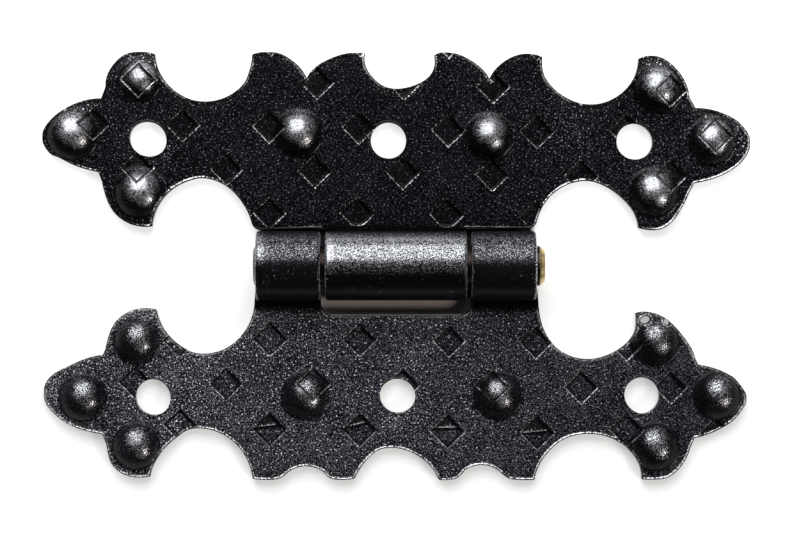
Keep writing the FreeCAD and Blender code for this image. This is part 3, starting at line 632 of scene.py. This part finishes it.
two_shape = {
    "domes": np.array([
        (-36.5, -10.6, 3.1, 2), (-44.1, -18.6, 3.2, 2), (-36.6, -25.4, 3.2, 2), (-12.8, -18.3, 3.2, 2),
        (14.3, -18.3, 3.2, 2), (36.5, -10.6, 3.3, 2), (45.2, -18.3, 3.2, 2), (36.4, -25.5, 3.3, 2),
    ]),
    "stamps": np.array([
        (-17.7, -10.3, 2.46, 0, 9, 0), (-5.1, -10.4, 2.37, 0, 9, 0), (7.5, -10.6, 2.25, 0, 9, 0),
        (19.7, -10.8, 2.30, 0, 9, 0), (-23.9, -16.6, 2.37, 0, 9, 0), (-11.6, -16.6, 2.39, 0, 9, 0),
        (1.0, -16.8, 2.39, 0, 9, 0), (13.7, -17.0, 2.32, 0, 9, 0), (26.1, -17.1, 2.37, 0, 9, 0),
        (38.7, -17.1, 2.30, 0, 9, 0), (-36.7, -16.4, 2.39, 0, 9, 0), (-30.4, -10.5, 2.46, 0, 9, 0),
        (-30.4, -22.4, 2.39, 0, 9, 0), (-17.8, -23.0, 2.48, 0, 0.5, 0.12),
        (-5.1, -23.1, 2.46, 0, 0.85, 0.25), (7.3, -23.3, 2.46, 0, 0.5, 0.03),
        (19.9, -23.5, 2.46, 0, 0.15, 0.1), (32.5, -23.1, 2.44, 0, 9, 0),
        (32.5, -11.0, 2.39, 0, 9, 0), (45.1, -23.6, 2.32, 0, 9, 0),
    ]),
    "strays": np.array([
        (49.7, -18.3, -0.22, -0.44), (-49.7, -18.3, -0.38, 0.30), (-0.2, -25.9, -0.59, 0.37),
        (19.7, -6.8, 0.67, -0.66), (-19.7, -6.8, -0.40, 0.46), (20.5, -27.5, -0.32, -0.63),
        (-20.5, -27.5, -0.41, -0.07), (37.0, -6.7, -0.56, 0.04), (-37.1, -6.7, 0.10, 0.54),
        (-37.3, -29.9, -0.06, 0.21), (37.5, -29.9, -0.16, -0.31), (-31.3, -18.5, -0.47, -0.35),
        (32.3, -18.5, -0.14, 0.17), (10.0, -29.2, -1.28, -0.55), (-10.2, -29.1, 0.47, -0.81),
        (0.9, -15.8, -0.32, -0.16), (43.1, -12.7, 1.11, -1.57), (26.0, -12.7, 0.34, -0.47),
        (-43.4, -24.0, 0.45, 0.75), (-43.3, -12.7, 0.21, -0.14), (43.4, -24.0, 0.28, 0.15),
        (-25.6, -12.6, -0.45, 0.31), (26.6, -23.3, -0.40, -0.40), (-26.2, -23.4, -0.90, 0.45),
        (-32.6, -25.6, 0.12, -0.03), (-31.9, -10.5, 0.20, 0.42), (32.6, -25.6, 0.55, -0.85),
        (31.9, -10.5, 0.84, -0.14), (15.5, -29.4, -0.10, -0.83), (-15.4, -29.4, -0.62, -0.68),
        (4.9, -28.0, 0.10, -0.81), (-4.9, -28.0, 0.65, 0.33), (37.3, -18.1, -0.24, -0.00),
        (-36.3, -18.1, -0.37, -0.13), (0.1, -20.8, -0.23, 0.11), (0, -5, 0, -0.65), (8, -5, 0, -0.65),
        (-8, -5, 0, -0.65), (15, -4, 0, 0), (-15, -4, 0, 0), (20, 0, 0, 0), (-20, 0, 0, 0),
        (-46.5, -22.3, 0, 0.1), (-23.2, -24.6, -0.45, 0.35), (-14, -28.6, -0.3, 0.3),
        (-11.6, -28.8, 0.2, -0.1), (3.2, -27, 0.1, 0.12), (12.4, -28.7, -0.5, 0.2),
        (14.6, -28.9, -0.2, 0.5), (30.6, -24.4, 0.5, -0.3),
    ]),
    "gritty": np.array([
        (-37.5, -7, 1.4, 0.7), (-35.5, -7.3, 1.4, 0.7), (-48.4, -17.8, 1.2, 1), (-31.1, -22.5, 1.6, 1.2),
        (32.9, -23.5, 1.3, 1.2), (-0.3, -22, 1.6, 0.7), (48.6, -20, 1, 1.2), (-29, -16.8, 5, 0.3),
    ]),
    "shade_spots": np.array([
        (-33.9, -9.4, 0.7), (-41.6, -16.8, 0.6), (-41.2, -22.3, 0.8), (-33.6, -24.3, 0.5),
        (34.2, -25.3, 0.5),
    ]),
    # torn spots that show the table: x, y, long and short half widths, turn in degrees
    "tears": [(35.1, -7.6, 0.72, 0.5, 15), (38.1, -7.9, 0.46, 0.4, -35)],
    "lean": -0.4, "depth": 0.35, "line": 0.86, "faint": 0.6,
    "soft": 0.35, "rub_sheen": 0.56, "sheen_reach": 0.5, "ring": 0.9,
    "shade": (5.9, 7), "rim_low": 0.68, "floor": 0.35, "tone": [1.1, 0.82, 0.36],
    "holes": np.array([(-34.3, -18.3), (0, -18.3), (34.4, -18.3)]),
    "bright_rims": np.array([
        (-35.6, -6.9, 1.8), (5.2, -28.6, 2.5), (-15.5, -29, 2.5), (20, -29.5, 2), (46.5, -21.5, 2),
    ]),
}
two_leaf = make_leaf(
    "two_knuckle_leaf_dressed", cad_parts["two_knuckle_leaf"], two_shape,
    knuckles=[(-19.6, -10.6), (10.6, 19.6)], side=-1, rub_sheen=0.22, low=-6,
)
two_paint = black_paint(
    "black_paint_two", ground=(0.0025, 0.0025, 0.0035, 1), salt=1.8, glint=1.3, grit=0.00006,
)
two_leaf.data.materials.append(two_paint)
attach(two_leaf, "fixed_leaf")
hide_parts("two_knuckle_leaf")


# The pin is a plain steel wire, yellow plated, headed over at one end and chamfered at the other. The
# black of the leaves was brushed on over it, so only the end that stands out shows the plating.

pin_finish, wire, shader = new_finish("yellow_plate")
place = wire.node("ShaderNodeTexCoord", {}, {}, "Object")
along = wire.node("ShaderNodeSeparateXYZ", {}, {0: place}, "X")
grain = wire.node("ShaderNodeTexNoise", {}, {"Vector": place, "Scale": 1800.0, "Detail": 3.0})
plating = (along + (grain - 0.5) * 0.0006).ramp(0.0200, 0.0204)
colour = plating.mix((0.025, 0.02, 0.019, 1), (0.62, 0.5, 0.24, 1))
pin_finish.node_tree.links.new(colour.socket, shader.inputs["Base Color"])
shader.inputs["Metallic"].default_value = 1
pin_finish.node_tree.links.new((0.34 + (grain - 0.5) * 0.3).socket, shader.inputs["Roughness"])
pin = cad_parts["hinge_pin"]
for slot in pin.material_slots:
    slot.material = pin_finish


# The hinge lies on a plain white table, whose top is 0.02 mm under the backs. It glows a little to
# the camera and in reflections, so that it looks white, and more behind the hinge than in front,
# painted light that washes out the shadows behind. Under the barrel the glow is off and it is painted
# dark, and in the slot beside the barrel painted grey: painted shade.

half, top = 3, -0.00002
table = bpy.data.meshes.new("table")
corners = [(-half, -half, top), (half, -half, top), (half, half, top), (-half, half, top)]
table.from_pydata(corners, [], [(0, 1, 2, 3)])
table = bpy.data.objects.new("table", table)
bpy.context.scene.collection.objects.link(table)
white, wire, shader = new_finish("white_table")
seen = wire.node("ShaderNodeLightPath", {}, {}, "Is Camera Ray")
seen = seen + wire.node("ShaderNodeLightPath", {}, {}, "Is Glossy Ray")
place = wire.node("ShaderNodeTexCoord", {}, {}, "Object")
sideways = wire.maths("ABSOLUTE", wire.node("ShaderNodeSeparateXYZ", {}, {0: place}, "X"))
across = wire.node("ShaderNodeSeparateXYZ", {}, {0: place}, "Y")
lengthways = wire.maths("ABSOLUTE", across + 0.0008)
# painted shade: no glow under the barrel and in the slot beside it
open_ground = wire.maths("MAXIMUM", sideways.ramp(0.0190, 0.0197), lengthways.ramp(0.0060, 0.0072))
# painted light: the glow is stronger behind the hinge, which washes out the shadows there
behind = across.ramp(-0.005, 0.012)
seen = seen * open_ground * (0.46 + behind * 0.26)
# painted shade: dark under the barrel and grey in the slot beside it
shade_dark, shade_grey, pale = (0.03, 0.03, 0.03, 1), (0.5, 0.46, 0.46, 1), (0.8, 0.8, 0.8, 1)
shaded = across.ramp(-0.0048, -0.0042).mix(shade_grey, shade_dark)
colour = open_ground.mix(shaded, pale)
white.node_tree.links.new(colour.socket, shader.inputs["Base Color"])
shader.inputs["Roughness"].default_value = 1
shader.inputs["Specular IOR Level"].default_value = 0
shader.inputs["Emission Color"].default_value = (1, 1, 1, 1)
white.node_tree.links.new(seen.socket, shader.inputs["Emission Strength"])
table.data.materials.append(white)


# A large soft box stands behind the upper leaf and a small warm one at the lower right, and both
# look at the middle of the hinge. The camera looks straight down from half a metre.

def soft_box(name, place, size, power, colour):
    lamp = bpy.data.lights.new(name, "AREA")
    lamp.shape = "RECTANGLE"
    lamp.size, lamp.size_y = size
    lamp.energy, lamp.color = power, colour
    item = bpy.data.objects.new(name, lamp)
    item.location = place
    item.rotation_euler = (-Vector(place)).to_track_quat("-Z", "Y").to_euler()
    bpy.context.scene.collection.objects.link(item)


soft_box("main_soft_box", (-0.2, 1.5, 1.5), size=(2.1, 2.2), power=58.0, colour=(1, 1, 1))
soft_box("warm_soft_box", (1.0, -0.65, 0.95), size=(0.4, 0.4), power=7.0, colour=(1, 0.91, 0.82))
world = bpy.data.worlds.new("room")
bpy.context.scene.world = world
world.use_nodes = True
background = world.node_tree.nodes["Background"]
background.inputs["Color"].default_value = (1, 1, 1, 1)
background.inputs["Strength"].default_value = 0.03

VIEW_WIDTH, CAMERA_HEIGHT, LEAF_FACE = 0.1118, 0.502, 0.002
lens = bpy.data.cameras.new("camera")
lens.sensor_width = 36
lens.lens = lens.sensor_width * (CAMERA_HEIGHT - LEAF_FACE) / VIEW_WIDTH
lens.clip_start, lens.clip_end = 0.01, 10
camera = bpy.data.objects.new("camera", lens)
camera.location = (0.00014, -0.00038, CAMERA_HEIGHT)
bpy.context.scene.collection.objects.link(camera)
bpy.context.scene.camera = camera
bpy.context.scene.view_settings.view_transform = "Standard"
